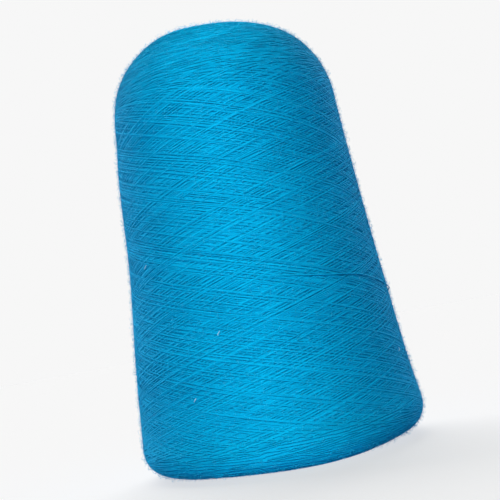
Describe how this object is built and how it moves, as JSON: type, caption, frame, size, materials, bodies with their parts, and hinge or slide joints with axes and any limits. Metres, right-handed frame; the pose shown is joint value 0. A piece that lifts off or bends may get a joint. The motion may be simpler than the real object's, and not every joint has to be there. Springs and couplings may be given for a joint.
{
  "type": "yarn cone",
  "caption": "Tapered paper cone wound with fine turquoise yarn in crossing layers, with a domed nose, that feeds a knitting machine or a loom.",
  "frame": {"origin": "centre of the core's foot, in the plane that the foot stands on", "axes": "+Z along the axis of the core, towards its nose; the cone is round, so X and Y are free"},
  "size_m": [0.1114, 0.1114, 0.17],
  "materials": {
    "core_paper": "matte",
    "yarn": "matte"
  },
  "bodies": {
    "root": {"core_cone": "core_paper", "yarn_package": "yarn"}
  },
  "joints": []
}
